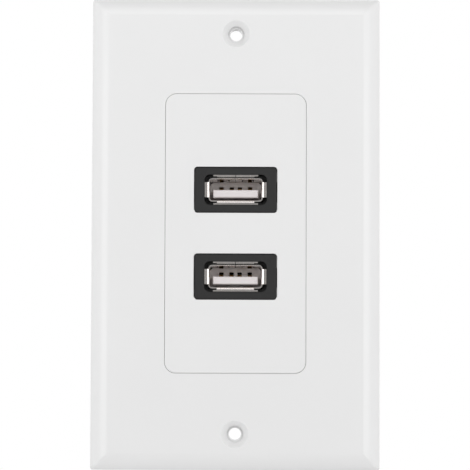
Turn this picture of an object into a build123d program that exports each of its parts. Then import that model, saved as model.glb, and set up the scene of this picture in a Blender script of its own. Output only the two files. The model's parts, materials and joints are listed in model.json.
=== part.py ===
from build123d import *
import os

# A one-gang decorator wall plate with a flush insert and two through USB-A couplers.
# Millimetres, +Z up. The wall is the plane Y = 0 and the front looks along -Y.
# The origin is the centre of the plate on the wall.
# Heights named "front" or "rear" are distances in front of the wall, negative behind it.

# Wall plate
PLATE_WIDTH = 69.85
PLATE_HEIGHT = 114.3
PLATE_DEPTH = 5.6
PLATE_FACE_WALL = 2.0
PLATE_RIM_WALL = 1.9
ROUND_WIDTH = 4.1
ROUND_DROP = 2.6
INNER_ROUND_WIDTH = 3.2
INNER_ROUND_DROP = 2.1
PLATE_CORNER_RADIUS = 0.7
COLLAR_WALL = 1.4
COLLAR_GAP = 0.2
PLATE_RIB_THICKNESS = 1.2
PLATE_RIB_HEIGHT = 1.6
PLATE_RIB_OFFSET = 22.0

# Screws that hold the plate to the insert: holes only, no screws are fitted
PLATE_SCREW_SPACING = 96.84
PLATE_SCREW_BORE = 3.95
COUNTERSINK_DIAMETER = 6.5
COUNTERSINK_ANGLE = 82
PLATE_SCREW_TAPPING = 2.95

# Insert: face, skirt and the strap that is moulded with it
INSERT_WIDTH = 34.0
INSERT_HEIGHT = 67.5
INSERT_RADIUS = 2.7
INSERT_CLEARANCE = 0.08
EDGE_BREAK = 0.1
INSERT_FACE_WALL = 2.0
INSERT_SKIRT_WALL = 1.6
INSERT_SKIRT_DEPTH = 8.6
INSERT_RIB_THICKNESS = 1.2
STRAP_THICKNESS = 1.4
STRAP_WIDTH = 24.0
STRAP_HEIGHT = 106.0
STRAP_RADIUS = 4.0
FLANGE_MARGIN = 2.4
STRAP_RIB_THICKNESS = 1.2
STRAP_RIB_HEIGHT = 1.0
TAPPED_BOSS_WIDTH = 7.0
TAPPED_BOSS_GAP = 0.2
BOX_SCREW_SPACING = 83.34
BOX_SLOT_WIDTH = 4.0
BOX_SLOT_LENGTH = 7.5

# USB couplers: two, one above the other
PORT_SPACING = 21.0
COUPLER_WIDTH = 20.0
COUPLER_HEIGHT = 11.0
COUPLER_CORNER_RADIUS = 0.8
COUPLER_LENGTH = 38.0
COUPLER_EDGE_BREAK = 0.2
WINDOW_CLEARANCE = 0.1
WINDOW_COLLAR_WALL = 1.0
WINDOW_COLLAR_DEPTH = 3.0
EAR_REAR = -3.0
EAR_THICKNESS = 2.0
EAR_HEIGHT = 4.8
EAR_CORNER = 0.6
EAR_MARGIN = 2.4
EAR_SCREW_SPACING = 25.2
EAR_NOTCH = 2.4
SHELL_CLEARANCE = 0.05
LIP_POCKET_CLEARANCE = 0.1
LIP_POCKET_DEPTH = 3.0
LIP_POCKET_RADIUS = 1.4

# Screws that hold the couplers
SCREW_BOSS_WIDTH = 4.2
SCREW_CORE = 1.76
SCREW_PILOT_CLEARANCE = 0.02
SCREW_TIP_GAP = 0.3
SCREW_LENGTH = 5.6
SCREW_HEAD_DIAMETER = 4.0
SCREW_HEAD_HEIGHT = 1.5
SCREW_RECESS_DEPTH = 0.8
SCREW_RECESS_WIDTH = 0.6
SCREW_RECESS_LENGTH = 2.4

# USB-A receptacle, the same at both ends of a coupler
SHELL_WIDTH = 12.5
SHELL_HEIGHT = 5.12
SHELL_RADIUS = 0.64
SHELL_LENGTH = 14.0
SHEET = 0.3
FOLD_RADIUS = 0.25
LIP_REACH_SIDE = 14.95
LIP_REACH_TOP = 7.2
LIP_WIDTH_SIDE = 3.65
LIP_WIDTH_TOP = 10.8
LIP_NOTCH = 0.9
LIP_NOTCH_RIM = 0.35
SEAM_WIDTH = 0.12
FINGER_SPACING = 6.0
FINGER_WIDTH = 2.4
FINGER_SLOT = 0.3
FINGER_ROOT = 2.4
FINGER_LENGTH = 5.2
FINGER_BOW = 0.4
FINGER_CREST = 2.8
FINGER_LAND = 0.6
CAVITY_DEPTH = 10.4
BASE_LENGTH = 3.2
INSULATOR_FIT = 0.03
TONGUE_WIDTH = 10.9
TONGUE_THICKNESS = 1.84
TONGUE_DROP = 0.88
TONGUE_RECESS = 1.5
TONGUE_EDGE = 0.2
OUTER_CONTACT_PLACE = 3.5
INNER_CONTACT_PLACE = 1.0
CONTACT_WIDTH = 1.0
CONTACT_THICKNESS = 0.25
CONTACT_SIDE_GAP = 0.04
CONTACT_TIP_GAP = 0.1
GROOVE_DEPTH = 0.35
GROOVE_START = 0.8
CONTACT_SLOT_RISE = 1.4
CONTACT_BUMP = 0.55
CONTACT_BUMP_SLOPE = 1.3
CONTACT_BUMP_LAND = 0.6
CONTACT_RUN = 0.3
BOARD_WIDTH = 12.0
BOARD_THICKNESS = 0.8
BOARD_END_GAP = 1.2
BOARD_CORNER = 0.4
TAIL_LAP = 2.6
CHAMBER_CLEARANCE = 0.4
CHAMBER_HEIGHT = 3.0

# Depth by which two forms of one solid run into each other where they join
JOIN_OVERLAP = 0.3

# Levels and places that follow from the sizes above
FACE = PLATE_DEPTH
PLATE_INNER_FACE = PLATE_DEPTH - PLATE_FACE_WALL
INSERT_INNER_FACE = PLATE_DEPTH - INSERT_FACE_WALL
INSERT_SKIRT_REAR = PLATE_DEPTH - INSERT_SKIRT_DEPTH
EAR_FRONT = EAR_REAR + EAR_THICKNESS
COUPLER_REAR = PLATE_DEPTH - COUPLER_LENGTH
COUPLER_MIDDLE = (FACE + COUPLER_REAR) / 2
LIP_DEPTH = SHEET + FOLD_RADIUS
SHELL_REAR = FACE - SHELL_LENGTH
CAVITY_REAR = FACE - CAVITY_DEPTH
BASE_REAR = CAVITY_REAR - BASE_LENGTH
TONGUE_FRONT = FACE - TONGUE_RECESS
TONGUE_TOP = TONGUE_THICKNESS / 2 - TONGUE_DROP
GROOVE_FLOOR = TONGUE_TOP - GROOVE_DEPTH
GROOVE_FRONT = TONGUE_FRONT - GROOVE_START
BOARD_FRONT = SHELL_REAR - BOARD_END_GAP
CONTACT_PLACES = {
    "ground": -OUTER_CONTACT_PLACE,
    "d_plus": -INNER_CONTACT_PLACE,
    "d_minus": INNER_CONTACT_PLACE,
    "vbus": OUTER_CONTACT_PLACE,
}

# Planes for profiles: the first axis runs across or up the plate, the second towards the front
ACROSS = Plane(origin=(0, 0, 0), x_dir=(1, 0, 0), z_dir=(0, 0, -1))
UPRIGHT = Plane(origin=(0, 0, 0), x_dir=(0, 0, 1), z_dir=(1, 0, 0))

os.makedirs("parts", exist_ok=True)


def save(piece, label):
    """Name one finished piece and write it to its own file."""
    piece.label = label
    export_step(piece, f"parts/{label}.step")


def rounded_block(width, height, depth, round_width, round_drop):
    """A block on the wall whose four sides curve into its face, mitred at the corners."""
    with BuildPart() as block:
        for plane, span, run, mode in (
            (ACROSS, width, height, Mode.ADD),
            (UPRIGHT, height, width, Mode.INTERSECT),
        ):
            with BuildSketch(plane):
                with BuildLine():
                    Polyline(
                        (-span / 2, depth - round_drop),
                        (-span / 2, 0),
                        (span / 2, 0),
                        (span / 2, depth - round_drop),
                    )
                    Line((-span / 2 + round_width, depth), (span / 2 - round_width, depth))
                    for side in (-1, 1):
                        TangentArc(
                            (side * (span / 2 - round_width), depth),
                            (side * span / 2, depth - round_drop),
                            tangent=(side, 0),
                        )
                make_face()
            extrude(amount=run / 2, both=True, mode=mode)
    return block.part


def corner_edges(block):
    """The edges of a block that run towards the front at its four corners, mitres included."""
    return block.edges().filter_by(Plane.XZ, reverse=True)


# Wall plate: a hollow moulding with a collar round the insert and small ribs at the back
opening_width = INSERT_WIDTH + 2 * INSERT_CLEARANCE
opening_height = INSERT_HEIGHT + 2 * INSERT_CLEARANCE
opening_radius = INSERT_RADIUS + INSERT_CLEARANCE
collar_rear = STRAP_THICKNESS + COLLAR_GAP

with BuildPart() as wall_plate:
    add(rounded_block(PLATE_WIDTH, PLATE_HEIGHT, PLATE_DEPTH, ROUND_WIDTH, ROUND_DROP))
    fillet(corner_edges(wall_plate.part), PLATE_CORNER_RADIUS)
    add(
        rounded_block(
            PLATE_WIDTH - 2 * PLATE_RIM_WALL,
            PLATE_HEIGHT - 2 * PLATE_RIM_WALL,
            PLATE_INNER_FACE,
            INNER_ROUND_WIDTH,
            INNER_ROUND_DROP,
        ),
        mode=Mode.SUBTRACT,
    )
    # collar that the insert passes through
    with BuildSketch(Plane.XZ.offset(collar_rear)):
        RectangleRounded(
            opening_width + 2 * COLLAR_WALL, opening_height + 2 * COLLAR_WALL, opening_radius + COLLAR_WALL
        )
    extrude(amount=PLATE_INNER_FACE - collar_rear)
    # stiffening ribs from the collar to the rim
    with BuildSketch(Plane.XZ.offset(PLATE_INNER_FACE - PLATE_RIB_HEIGHT)):
        with GridLocations(0, PLATE_RIB_OFFSET, 1, 3):
            Rectangle(PLATE_WIDTH - 2 * ROUND_WIDTH, PLATE_RIB_THICKNESS)
    extrude(amount=PLATE_RIB_HEIGHT)
    # opening for the insert
    with BuildSketch(Plane.XZ):
        RectangleRounded(opening_width, opening_height, opening_radius)
    extrude(amount=PLATE_DEPTH, mode=Mode.SUBTRACT)
    front_face = wall_plate.faces().sort_by(Axis.Y)[0]
    chamfer(front_face.inner_wires()[0].edges(), EDGE_BREAK)
    # countersunk holes for the plate screws
    with Locations(Plane.XZ.offset(FACE)):
        with GridLocations(0, PLATE_SCREW_SPACING, 1, 2):
            CounterSinkHole(
                PLATE_SCREW_BORE / 2,
                COUNTERSINK_DIAMETER / 2,
                depth=PLATE_DEPTH,
                counter_sink_angle=COUNTERSINK_ANGLE,
            )
save(wall_plate.part, "wall_plate")

# Insert: flush face, skirt, strap with bosses, window collars and screw bosses in one moulding
window_width = COUPLER_WIDTH + 2 * WINDOW_CLEARANCE
window_height = COUPLER_HEIGHT + 2 * WINDOW_CLEARANCE
flange_width = INSERT_WIDTH + 2 * FLANGE_MARGIN
flange_height = INSERT_HEIGHT + 2 * FLANGE_MARGIN
hollow_width = INSERT_WIDTH - 2 * INSERT_SKIRT_WALL
hollow_height = INSERT_HEIGHT - 2 * INSERT_SKIRT_WALL
boss_face = PLATE_INNER_FACE - TAPPED_BOSS_GAP
rib_places = [(0, 0), (0, PORT_SPACING), (0, -PORT_SPACING)]
strap_rib_offset = STRAP_WIDTH / 2 - STRAP_RADIUS
strap_rib_start = opening_height / 2 + COLLAR_WALL + STRAP_RIB_THICKNESS
strap_rib_length = STRAP_HEIGHT / 2 - STRAP_RADIUS - strap_rib_start
strap_rib_middle = strap_rib_start + strap_rib_length / 2

with BuildPart() as insert:
    # strap and the flange round the skirt, flat on the wall
    with BuildSketch(Plane.XZ):
        RectangleRounded(STRAP_WIDTH, STRAP_HEIGHT, STRAP_RADIUS)
        RectangleRounded(flange_width, flange_height, INSERT_RADIUS + FLANGE_MARGIN)
    extrude(amount=STRAP_THICKNESS)
    with BuildSketch(Plane.XZ.offset(INSERT_SKIRT_REAR)):
        RectangleRounded(INSERT_WIDTH, INSERT_HEIGHT, INSERT_RADIUS)
    extrude(amount=INSERT_SKIRT_DEPTH)
    chamfer(insert.faces().sort_by(Axis.Y)[0].edges(), EDGE_BREAK)
    # bosses for the plate screws, and two stiffening ribs on each end of the strap
    with BuildSketch(Plane.XZ):
        with GridLocations(0, PLATE_SCREW_SPACING, 1, 2):
            Rectangle(TAPPED_BOSS_WIDTH, TAPPED_BOSS_WIDTH)
    extrude(amount=boss_face)
    with BuildSketch(Plane.XZ.offset(STRAP_THICKNESS)):
        with GridLocations(2 * strap_rib_offset, 2 * strap_rib_middle, 2, 2):
            Rectangle(STRAP_RIB_THICKNESS, strap_rib_length)
    extrude(amount=STRAP_RIB_HEIGHT)
    # hollow behind the face
    with BuildSketch(Plane.XZ.offset(INSERT_SKIRT_REAR)):
        Rectangle(hollow_width, hollow_height)
    extrude(amount=INSERT_INNER_FACE - INSERT_SKIRT_REAR, mode=Mode.SUBTRACT)
    # cross ribs, collars round the windows and bosses for the coupler screws
    with BuildSketch(Plane.XZ):
        with Locations(*rib_places):
            Rectangle(hollow_width + JOIN_OVERLAP, INSERT_RIB_THICKNESS)
    extrude(amount=INSERT_INNER_FACE)
    with BuildSketch(Plane.XZ.offset(INSERT_INNER_FACE - WINDOW_COLLAR_DEPTH)):
        with GridLocations(0, PORT_SPACING, 1, 2):
            Rectangle(window_width + 2 * WINDOW_COLLAR_WALL, window_height + 2 * WINDOW_COLLAR_WALL)
    extrude(amount=WINDOW_COLLAR_DEPTH)
    with BuildSketch(Plane.XZ.offset(EAR_FRONT)):
        with GridLocations(EAR_SCREW_SPACING, PORT_SPACING, 2, 2):
            Rectangle(SCREW_BOSS_WIDTH, SCREW_BOSS_WIDTH)
    extrude(amount=INSERT_INNER_FACE - EAR_FRONT)
    # windows for the couplers
    with BuildSketch(Plane.XZ.offset(EAR_FRONT)):
        with GridLocations(0, PORT_SPACING, 1, 2):
            RectangleRounded(window_width, window_height, COUPLER_CORNER_RADIUS + WINDOW_CLEARANCE)
    extrude(amount=FACE - EAR_FRONT, mode=Mode.SUBTRACT)
    # pilot holes, tapped holes and box screw slots
    with Locations(Plane.XZ.offset(EAR_FRONT).rotated((0, 180, 0))):
        with GridLocations(EAR_SCREW_SPACING, PORT_SPACING, 2, 2):
            Hole(SCREW_CORE / 2 + SCREW_PILOT_CLEARANCE, depth=SCREW_LENGTH - EAR_THICKNESS + SCREW_TIP_GAP)
    with BuildSketch(Plane.XZ):
        with GridLocations(0, PLATE_SCREW_SPACING, 1, 2):
            Circle(PLATE_SCREW_TAPPING / 2)
        with GridLocations(0, BOX_SCREW_SPACING, 1, 2):
            SlotOverall(BOX_SLOT_LENGTH, BOX_SLOT_WIDTH)
    extrude(amount=boss_face, mode=Mode.SUBTRACT)
save(insert.part, "insert")

# Coupler screw: flat head with a cross recess, and its core; the thread is left off
with BuildPart() as screw:
    Cylinder(SCREW_HEAD_DIAMETER / 2, SCREW_HEAD_HEIGHT, align=(Align.CENTER, Align.CENTER, Align.MAX))
    Cylinder(SCREW_CORE / 2, SCREW_LENGTH, align=(Align.CENTER, Align.CENTER, Align.MIN))
    with BuildSketch(Plane.XY.offset(-SCREW_HEAD_HEIGHT)):
        Rectangle(SCREW_RECESS_LENGTH, SCREW_RECESS_WIDTH)
        Rectangle(SCREW_RECESS_WIDTH, SCREW_RECESS_LENGTH)
    extrude(amount=SCREW_RECESS_DEPTH, mode=Mode.SUBTRACT)

with BuildPart() as coupler_screws:
    with Locations(Plane.XZ.offset(EAR_REAR)):
        with GridLocations(EAR_SCREW_SPACING, PORT_SPACING, 2, 2):
            add(screw.part)
save(coupler_screws.part, "coupler_screws")

# Coupler body: one moulding with ears, and pockets for two receptacles and a link board
pocket_width = SHELL_WIDTH + 2 * (SHEET + SHELL_CLEARANCE)
pocket_height = SHELL_HEIGHT + 2 * (SHEET + SHELL_CLEARANCE)
lip_pocket_width = LIP_REACH_SIDE + 2 * LIP_POCKET_CLEARANCE
lip_pocket_height = LIP_REACH_TOP + 2 * LIP_POCKET_CLEARANCE
ear_notch_length = EAR_MARGIN + EAR_NOTCH / 2
ear_notch_middle = (EAR_SCREW_SPACING + ear_notch_length - EAR_NOTCH) / 2

with BuildPart() as coupler_body:
    with BuildSketch(Plane.XZ.offset(COUPLER_REAR)):
        RectangleRounded(COUPLER_WIDTH, COUPLER_HEIGHT, COUPLER_CORNER_RADIUS)
    extrude(amount=COUPLER_LENGTH)
    chamfer(coupler_body.faces().sort_by(Axis.Y)[0].edges(), COUPLER_EDGE_BREAK)
    # ears, each notched from its end for a screw
    with BuildSketch(Plane.XZ.offset(EAR_REAR)) as ears:
        Rectangle(EAR_SCREW_SPACING + 2 * EAR_MARGIN, EAR_HEIGHT)
        chamfer(ears.vertices(), EAR_CORNER)
        with GridLocations(2 * ear_notch_middle, 0, 2, 1):
            Rectangle(ear_notch_length, EAR_NOTCH, mode=Mode.SUBTRACT)
    extrude(amount=EAR_THICKNESS)
    # one pocket at each end for the shell, and a wider one in front of it for the lips
    for face, inward in ((FACE, -1), (COUPLER_REAR, 1)):
        with BuildSketch(Plane.XZ.offset(face)):
            Rectangle(pocket_width, pocket_height)
        extrude(amount=inward * (SHELL_LENGTH + SHELL_CLEARANCE), mode=Mode.SUBTRACT)
        with BuildSketch(Plane.XZ.offset(face)):
            RectangleRounded(lip_pocket_width, lip_pocket_height, LIP_POCKET_RADIUS)
        extrude(amount=inward * LIP_POCKET_DEPTH, mode=Mode.SUBTRACT)
    # chamber for the link board between the two pockets
    with BuildSketch(Plane.XZ.offset(COUPLER_MIDDLE)):
        Rectangle(BOARD_WIDTH + 2 * CHAMBER_CLEARANCE, CHAMBER_HEIGHT)
    extrude(amount=SHELL_REAR - COUPLER_MIDDLE, both=True, mode=Mode.SUBTRACT)

# Receptacle shell: folded sheet with four flared lips, a seam along the top and spring fingers
with BuildPart() as port_shell:
    with BuildSketch(Plane.XZ.offset(SHELL_REAR)):
        RectangleRounded(SHELL_WIDTH + 2 * SHEET, SHELL_HEIGHT + 2 * SHEET, SHELL_RADIUS + SHEET)
        RectangleRounded(SHELL_WIDTH, SHELL_HEIGHT, SHELL_RADIUS, mode=Mode.SUBTRACT)
    extrude(amount=SHELL_LENGTH - LIP_DEPTH)
    # windows for the spring fingers, through the top and the bottom
    with BuildSketch(Plane.XZ.offset(FACE - FINGER_ROOT)):
        with GridLocations(FINGER_SPACING, 0, 2, 1):
            Rectangle(FINGER_WIDTH + 2 * FINGER_SLOT, SHELL_HEIGHT + 4 * SHEET)
    extrude(amount=-(FINGER_LENGTH + FINGER_SLOT), mode=Mode.SUBTRACT)
    # fingers bowed into the mouth, rooted at the front of their windows
    finger_start = FACE - FINGER_ROOT
    for side in (1, -1):
        wall_middle = side * (SHELL_HEIGHT + SHEET) / 2
        for place in (-FINGER_SPACING / 2, FINGER_SPACING / 2):
            with BuildSketch(UPRIGHT.offset(place)):
                with BuildLine():
                    Polyline(
                        (wall_middle, finger_start + JOIN_OVERLAP),
                        (wall_middle, finger_start),
                        (wall_middle - side * FINGER_BOW, finger_start - FINGER_CREST),
                        (wall_middle - side * FINGER_BOW, finger_start - FINGER_CREST - FINGER_LAND),
                        (wall_middle - side * FINGER_BOW / 2, finger_start - FINGER_LENGTH),
                    )
                trace(line_width=SHEET)
            extrude(amount=FINGER_WIDTH / 2, both=True)
    # lips folded outwards, one on each side of the mouth
    for plane, wall, reach, lip_width in (
        (ACROSS, SHELL_WIDTH, LIP_REACH_SIDE, LIP_WIDTH_SIDE),
        (UPRIGHT, SHELL_HEIGHT, LIP_REACH_TOP, LIP_WIDTH_TOP),
    ):
        for side in (1, -1):
            with BuildSketch(plane):
                with BuildLine():
                    FilletPolyline(
                        (side * (wall + SHEET) / 2, FACE - LIP_DEPTH - JOIN_OVERLAP),
                        (side * (wall + SHEET) / 2, FACE - SHEET / 2),
                        (side * reach / 2, FACE - SHEET / 2),
                        radius=FOLD_RADIUS + SHEET / 2,
                    )
                trace(line_width=SHEET)
            extrude(amount=lip_width / 2, both=True)
    # relief notches in the folds at both ends of the top and bottom lips
    notch_reach = LIP_REACH_TOP - 2 * LIP_NOTCH_RIM
    with BuildSketch(Plane.XZ.offset(FACE - LIP_DEPTH)):
        with GridLocations(LIP_WIDTH_TOP - LIP_NOTCH, 0, 2, 1):
            Rectangle(LIP_NOTCH, notch_reach)
    extrude(amount=LIP_DEPTH, mode=Mode.SUBTRACT)
    # seam where the two ends of the sheet meet
    with BuildSketch(Plane.XZ.offset(SHELL_REAR)):
        with Locations((0, LIP_REACH_TOP / 2)):
            Rectangle(SEAM_WIDTH, LIP_REACH_TOP)
    extrude(amount=SHELL_LENGTH, mode=Mode.SUBTRACT)

# Receptacle insulator: base with four slots and a tongue with four grooves
with BuildPart() as port_insulator:
    with BuildSketch(Plane.XZ.offset(CAVITY_REAR)):
        with Locations((0, -TONGUE_DROP)):
            Rectangle(TONGUE_WIDTH, TONGUE_THICKNESS)
    extrude(amount=CAVITY_DEPTH - TONGUE_RECESS)
    chamfer(port_insulator.faces().sort_by(Axis.Y)[0].edges(), TONGUE_EDGE)
    with BuildSketch(Plane.XZ.offset(CAVITY_REAR)) as base:
        Rectangle(SHELL_WIDTH - 2 * INSULATOR_FIT, SHELL_HEIGHT - 2 * INSULATOR_FIT)
        chamfer(base.vertices(), SHELL_RADIUS)
    extrude(amount=-BASE_LENGTH)
    for place in CONTACT_PLACES.values():
        with BuildSketch(Plane.XZ.offset(GROOVE_FRONT)):
            with Locations((place, (GROOVE_FLOOR + TONGUE_TOP) / 2)):
                Rectangle(CONTACT_WIDTH + 2 * CONTACT_SIDE_GAP, GROOVE_DEPTH)
        extrude(amount=BASE_REAR - GROOVE_FRONT, mode=Mode.SUBTRACT)
        with BuildSketch(Plane.XZ.offset(CAVITY_REAR)):
            with Locations((place, TONGUE_TOP + CONTACT_SLOT_RISE / 2)):
                Rectangle(CONTACT_WIDTH + 2 * CONTACT_SIDE_GAP, CONTACT_SLOT_RISE)
        extrude(amount=-BASE_LENGTH, mode=Mode.SUBTRACT)

# Contacts: strips that lie in the grooves, bow up near the mouth and lap onto the board
lying = GROOVE_FLOOR + CONTACT_THICKNESS / 2
soldered = (BOARD_THICKNESS + CONTACT_THICKNESS) / 2
contact_front = GROOVE_FRONT - CONTACT_TIP_GAP


def contact(place):
    """One contact strip, bent in the upright plane at its own place across the port."""
    with BuildPart() as strip:
        with BuildSketch(UPRIGHT.offset(place)):
            with BuildLine():
                Polyline(
                    (lying, contact_front),
                    (lying + CONTACT_BUMP, contact_front - CONTACT_BUMP_SLOPE),
                    (lying + CONTACT_BUMP, contact_front - CONTACT_BUMP_SLOPE - CONTACT_BUMP_LAND),
                    (lying, contact_front - 2 * CONTACT_BUMP_SLOPE - CONTACT_BUMP_LAND),
                    (lying, BASE_REAR - CONTACT_RUN),
                    (soldered, BOARD_FRONT + CONTACT_RUN),
                    (soldered, BOARD_FRONT - TAIL_LAP),
                )
            trace(line_width=CONTACT_THICKNESS)
        extrude(amount=CONTACT_WIDTH / 2, both=True)
    return strip.part


# Link board between the two receptacles
with BuildPart() as link_board:
    board_length = 2 * (BOARD_FRONT - COUPLER_MIDDLE)
    Box(BOARD_WIDTH, board_length, BOARD_THICKNESS)
    chamfer(link_board.edges().filter_by(Axis.Z), BOARD_CORNER)

# Both couplers hold the same pieces; the rear receptacle is the front one turned end for end
middle = Pos(0, -COUPLER_MIDDLE, 0)
for port, height in (("upper", PORT_SPACING / 2), ("lower", -PORT_SPACING / 2)):
    save(Pos(0, 0, height) * coupler_body.part, f"{port}_coupler_body")
    save(Pos(0, 0, height) * middle * link_board.part, f"{port}_link_board")
    for end, turn in (("front", 0), ("rear", 180)):
        seat = Pos(0, 0, height) * middle * Rot(turn, 0, 0) * middle.inverse()
        save(seat * port_shell.part, f"{port}_{end}_shell")
        save(seat * port_insulator.part, f"{port}_{end}_insulator")
        for signal, place in CONTACT_PLACES.items():
            save(seat * contact(place), f"{port}_{end}_contact_{signal}")
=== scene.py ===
import bpy
import json
import math
from mathutils import Matrix, Vector


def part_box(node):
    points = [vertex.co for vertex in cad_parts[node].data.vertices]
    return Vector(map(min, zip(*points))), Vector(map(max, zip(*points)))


# A white one-gang wall plate with two black USB-A sockets, seen square on from slightly below.
# Metres, +Z up, the wall is the plane Y = 0 and the front looks along -Y.

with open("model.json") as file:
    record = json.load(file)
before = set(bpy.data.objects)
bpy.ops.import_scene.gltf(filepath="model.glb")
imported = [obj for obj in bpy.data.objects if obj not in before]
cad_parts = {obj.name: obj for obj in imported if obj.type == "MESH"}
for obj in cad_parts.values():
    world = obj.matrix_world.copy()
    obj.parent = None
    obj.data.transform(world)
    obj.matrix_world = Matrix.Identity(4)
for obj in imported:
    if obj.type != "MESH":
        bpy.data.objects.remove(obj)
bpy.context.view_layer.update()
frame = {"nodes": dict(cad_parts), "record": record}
nodes = frame["nodes"]
scene = bpy.context.scene
plate_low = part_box("wall_plate")[0]

# Photograph frame, and the camera that was fitted to it; angles in degrees
IMAGE_SIZE = 470
SENSOR_WIDTH = 36.0
FOCAL_PIXELS = 2394.6
NEAREST_SEEN = 0.01
CAMERA_DISTANCE = 0.5782
CAMERA_TILT = 3.15
CAMERA_YAW = 0.19
CAMERA_ROLL = 0.205
AIM_X = -0.000127
AIM_Z = -0.000449

# Floor, below the photograph's view; it starts a little in front of the plate
FLOOR_DROP = 0.50
FLOOR_SIZE = 4.0
FLOOR_FRONT = -0.10
FLOOR_COLOUR = (0.9, 0.9, 0.9)
FLOOR_ROUGHNESS = 0.9

# Patterns of the materials: scales in repeats per metre, depths of relief in metres
DRIFT_SCALE = 60.0
DRIFT_DETAIL = 2.0
GLOSS_SCALE = 400.0
GLOSS_DETAIL = 2.0
GRAIN_DETAIL = 3.0
GRAIN_DEPTH = 0.00002
CLOUD_SCALE = 900.0
CLOUD_DETAIL = 4.0
LINE_SCALE = 3000.0
LINE_DETAIL = 3.0
LINE_DEPTH = 0.00001
LINE_STRENGTH = 0.25

# Plastics: name, darker and lighter colour, range of roughness, scale and strength of the grain
PLASTICS = {
    "plate": ("white_plate", (0.820, 0.820, 0.820), (0.840, 0.840, 0.840), (0.20, 0.26), 9000.0, 0.02),
    "insert": ("white_insert", (0.818, 0.818, 0.818), (0.838, 0.838, 0.838), (0.22, 0.28), 9000.0, 0.02),
    "coupler": ("black_coupler", (0.003, 0.003, 0.003), (0.006, 0.006, 0.006), (0.45, 0.6), 7000.0, 0.3),
    "insulator": ("white_insulator", (0.76, 0.72, 0.72), (0.82, 0.78, 0.78), (0.35, 0.5), 6000.0, 0.2),
    "board": ("green_board", (0.03, 0.16, 0.07), (0.05, 0.22, 0.10), (0.25, 0.35), 5000.0, 0.2),
}

# Metals: name, darker and lighter colour, range of roughness, stretch of the rolling lines
METALS = {
    "shell": ("nickel_sheet", (0.82, 0.77, 0.74), (0.90, 0.86, 0.83), (0.08, 0.20), (1.0, 0.08, 1.0)),
    "contact": ("gold_contact", (0.80, 0.56, 0.22), (0.90, 0.68, 0.32), (0.15, 0.30), (1.0, 0.1, 1.0)),
    "screw": ("zinc_screw", (0.42, 0.42, 0.43), (0.58, 0.58, 0.60), (0.25, 0.4), (1.0, 1.0, 1.0)),
}

# World: levels of the tent and its dark patch, angles in degrees, and where the background begins behind
WHITE = (1, 1, 1, 1)
TENT_LEVEL = 0.29
TENT_SIDE_GAIN = 0.95
DARK_LEVEL = 0.04
DARK_TILT = 42
DARK_SPREAD = (28, 44)
DARK_NARROWING = 2.5
BACKGROUND_LEVEL = 1.0
BACKGROUND_BLEND = (0.15, 0.45)

# Soft boxes: turn and rise in degrees from straight in front, distance, width and height, brightness
SOFT_BOXES = {
    "left_box": (-29, 2, 0.90, (0.62, 0.34), 2.12),
    "right_box": (29, 2, 0.90, (0.62, 0.34), 2.12),
    "top_box": (0, 38, 0.46, (0.38, 0.28), 1.42),
    "low_left_box": (-55, -60, 0.90, (0.50, 0.50), 1.35),
    "low_right_box": (55, -60, 0.90, (0.50, 0.50), 1.35),
    "back_left_box": (-152, 15, 0.90, (0.50, 0.50), 1.5),
    "back_right_box": (152, 15, 0.90, (0.50, 0.50), 1.5),
}


def from_front(turn, rise):
    """A direction outward from the plate, by its turn and rise in degrees from straight in front."""
    turn, rise = math.radians(turn), math.radians(rise)
    return Vector((math.sin(turn) * math.cos(rise), -math.cos(turn) * math.cos(rise), math.sin(rise)))


def add_node(tree, kind, inputs=None, **settings):
    """A node with its settings; each of its inputs takes a socket to link or a plain value."""
    node = tree.nodes.new(kind)
    for name, value in settings.items():
        setattr(node, name, value)
    for place, value in (inputs or {}).items():
        if isinstance(value, bpy.types.NodeSocket):
            tree.links.new(value, node.inputs[place])
        else:
            node.inputs[place].default_value = value
    return node


# Materials


def new_material(name):
    """A node material, its node tree and its shader."""
    material = bpy.data.materials.new(name)
    material.use_nodes = True
    tree = material.node_tree
    return material, tree, tree.nodes["Principled BSDF"]


def object_noise(tree, scale, detail, stretch=(1.0, 1.0, 1.0)):
    """Noise that is fixed to the object."""
    coordinates = add_node(tree, "ShaderNodeTexCoord")
    places = {"Vector": coordinates.outputs["Object"], "Scale": stretch}
    mapping = add_node(tree, "ShaderNodeMapping", places)
    pattern = {"Vector": mapping.outputs["Vector"], "Scale": scale, "Detail": detail}
    return add_node(tree, "ShaderNodeTexNoise", pattern).outputs["Fac"]


def blend_colours(tree, factor, first, second):
    """A ramp from one colour to another by a factor."""
    ramp = add_node(tree, "ShaderNodeValToRGB", {"Fac": factor})
    for element, colour in zip(ramp.color_ramp.elements, (first, second)):
        element.color = (*colour, 1)
    return ramp.outputs["Color"]


def spread(tree, factor, low, high):
    """A factor from 0 to 1 made to run from low to high."""
    limits = {"Value": factor, "To Min": low, "To Max": high}
    return add_node(tree, "ShaderNodeMapRange", limits).outputs["Result"]


def add_bump(tree, shader, height, strength, distance):
    """Fine relief from a height factor."""
    relief = {"Height": height, "Strength": strength, "Distance": distance}
    bump = add_node(tree, "ShaderNodeBump", relief)
    tree.links.new(bump.outputs["Normal"], shader.inputs["Normal"])


def moulded_plastic(name, dark, light, roughness, grain_scale, grain_strength):
    """Moulded plastic: slow colour drift, uneven gloss and a fine eroded grain."""
    material, tree, shader = new_material(name)
    colour = blend_colours(tree, object_noise(tree, DRIFT_SCALE, DRIFT_DETAIL), dark, light)
    tree.links.new(colour, shader.inputs["Base Color"])
    gloss = spread(tree, object_noise(tree, GLOSS_SCALE, GLOSS_DETAIL), *roughness)
    tree.links.new(gloss, shader.inputs["Roughness"])
    grain = object_noise(tree, grain_scale, GRAIN_DETAIL)
    add_bump(tree, shader, grain, grain_strength, GRAIN_DEPTH)
    return material


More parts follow.
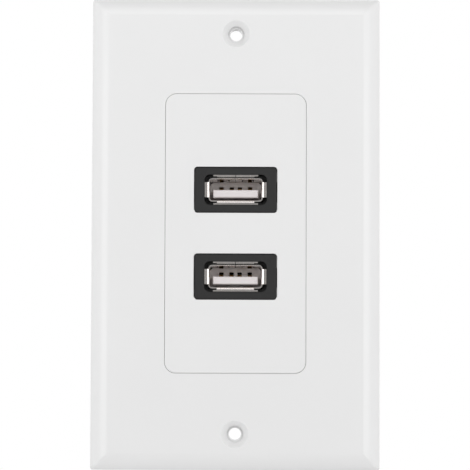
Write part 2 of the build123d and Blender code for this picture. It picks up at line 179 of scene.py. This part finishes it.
def plated_sheet(name, dark, light, roughness, stretch):
    """Plated sheet metal: fine rolling lines and a little cloudiness."""
    material, tree, shader = new_material(name)
    shader.inputs["Metallic"].default_value = 1.0
    colour = blend_colours(tree, object_noise(tree, CLOUD_SCALE, CLOUD_DETAIL), dark, light)
    tree.links.new(colour, shader.inputs["Base Color"])
    lines = object_noise(tree, LINE_SCALE, LINE_DETAIL, stretch)
    tree.links.new(spread(tree, lines, *roughness), shader.inputs["Roughness"])
    add_bump(tree, shader, lines, LINE_STRENGTH, LINE_DEPTH)
    return material


slot_materials = {slot: moulded_plastic(*look) for slot, look in PLASTICS.items()}
slot_materials.update({slot: plated_sheet(*look) for slot, look in METALS.items()})
for entry in frame["record"]["subparts"]:
    mesh = nodes[entry["node"]].data
    mesh.materials.clear()
    mesh.materials.append(slot_materials[entry["material_slot"]])

# Floor

floor_place = (0, FLOOR_FRONT + FLOOR_SIZE / 2, plate_low.z - FLOOR_DROP)
bpy.ops.mesh.primitive_plane_add(size=FLOOR_SIZE, location=floor_place)
floor = bpy.context.object
floor.name = "floor"
floor_material, floor_tree, floor_shader = new_material("pale_floor")
floor_shader.inputs["Base Color"].default_value = (*FLOOR_COLOUR, 1)
floor_shader.inputs["Roughness"].default_value = FLOOR_ROUGHNESS
floor.data.materials.append(floor_material)

# World: a white tent with a dark patch below the camera, and a plain white background

world = bpy.data.worlds.new("studio")
scene.world = world
world.use_nodes = True
sky = world.node_tree
sky.nodes.clear()


def maths(operation, *values):
    """The result of a maths node from sockets or plain values, in their order."""
    node = add_node(sky, "ShaderNodeMath", dict(enumerate(values)), operation=operation)
    return node.outputs["Value"]


def vector_maths(operation, result, *values):
    """One result of a vector maths node from sockets or plain values, in their order."""
    node = add_node(sky, "ShaderNodeVectorMath", dict(enumerate(values)), operation=operation)
    return node.outputs[result]


def smooth_step(value, start, end):
    """A value turned into 0 at the start and 1 at the end of a soft change."""
    limits = {"Value": value, "From Min": start, "From Max": end}
    node = add_node(sky, "ShaderNodeMapRange", limits, interpolation_type="SMOOTHSTEP")
    return node.outputs["Result"]


def white_light(strength):
    """A background of white light with a strength."""
    light = {"Color": WHITE, "Strength": strength}
    return add_node(sky, "ShaderNodeBackground", light).outputs["Background"]


# The tent grows brighter to both sides
direction = add_node(sky, "ShaderNodeTexCoord").outputs["Generated"]
axes = add_node(sky, "ShaderNodeSeparateXYZ", {"Vector": direction}).outputs
sideways = maths("MULTIPLY", axes["X"], axes["X"])
tent_level = maths("MULTIPLY_ADD", sideways, TENT_SIDE_GAIN, TENT_LEVEL)

# The dark patch is narrower than it is high, because sideways directions count for more
narrowed = vector_maths("MULTIPLY", "Vector", direction, (DARK_NARROWING, 1.0, 1.0))
narrowed_unit = vector_maths("NORMALIZE", "Vector", narrowed)
nearness = vector_maths("DOT_PRODUCT", "Value", narrowed_unit, from_front(0, -DARK_TILT))
dark_start, dark_end = (math.cos(math.radians(angle)) for angle in DARK_SPREAD)
outside_dark = smooth_step(nearness, dark_start, dark_end)
levels = {"Factor": outside_dark, "A": DARK_LEVEL, "B": tent_level}
studio_level = add_node(sky, "ShaderNodeMix", levels).outputs["Result"]

# The background is seen directly and through glass all round, and in gloss only behind the wall
rays = add_node(sky, "ShaderNodeLightPath").outputs
seen_in_gloss = maths("MULTIPLY", rays["Is Glossy Ray"], smooth_step(axes["Y"], *BACKGROUND_BLEND))
seen_directly = maths("MAXIMUM", rays["Is Camera Ray"], rays["Is Transmission Ray"])
seen = maths("MAXIMUM", seen_directly, seen_in_gloss)

# The two shader inputs have the same name, so they go by number
choices = {"Fac": seen, 1: white_light(studio_level), 2: white_light(BACKGROUND_LEVEL)}
surface = add_node(sky, "ShaderNodeMixShader", choices).outputs["Shader"]
add_node(sky, "ShaderNodeOutputWorld", {"Surface": surface})

# Lamps: soft boxes at both sides of the camera, above and below it, and two behind the wall

centre = Vector((0, plate_low.y, 0))


def soft_box(name, turn, rise, distance, size, glow):
    """A soft box that faces the plate; its brightness doesn't change with its size."""
    outward = from_front(turn, rise)
    width, height = size
    lamp = bpy.data.lights.new(name, "AREA")
    lamp.shape = "RECTANGLE"
    lamp.size = width
    lamp.size_y = height
    lamp.energy = glow * math.pi * width * height
    holder = bpy.data.objects.new(name, lamp)
    scene.collection.objects.link(holder)
    holder.location = centre + outward * distance
    holder.rotation_euler = (-outward).to_track_quat("-Z", "Y").to_euler()


for name, place in SOFT_BOXES.items():
    soft_box(name, *place)

# Camera

lens = bpy.data.cameras.new("camera")
lens.sensor_width = SENSOR_WIDTH
lens.lens = FOCAL_PIXELS / IMAGE_SIZE * SENSOR_WIDTH
lens.clip_start = NEAREST_SEEN
camera = bpy.data.objects.new("camera", lens)
scene.collection.objects.link(camera)

aim = Vector((AIM_X, plate_low.y, AIM_Z))
outward = from_front(CAMERA_YAW, -CAMERA_TILT)
roll = math.radians(CAMERA_ROLL)
right = (-outward).cross(Vector((0, 0, 1))).normalized()
up = right.cross(-outward)
turned_right = right * math.cos(roll) + up * math.sin(roll)
turned_up = up * math.cos(roll) - right * math.sin(roll)
turned = Matrix((turned_right, turned_up, outward)).transposed().to_4x4()
camera.matrix_world = Matrix.Translation(aim + outward * CAMERA_DISTANCE) @ turned
scene.camera = camera

scene.view_settings.view_transform = "Standard"
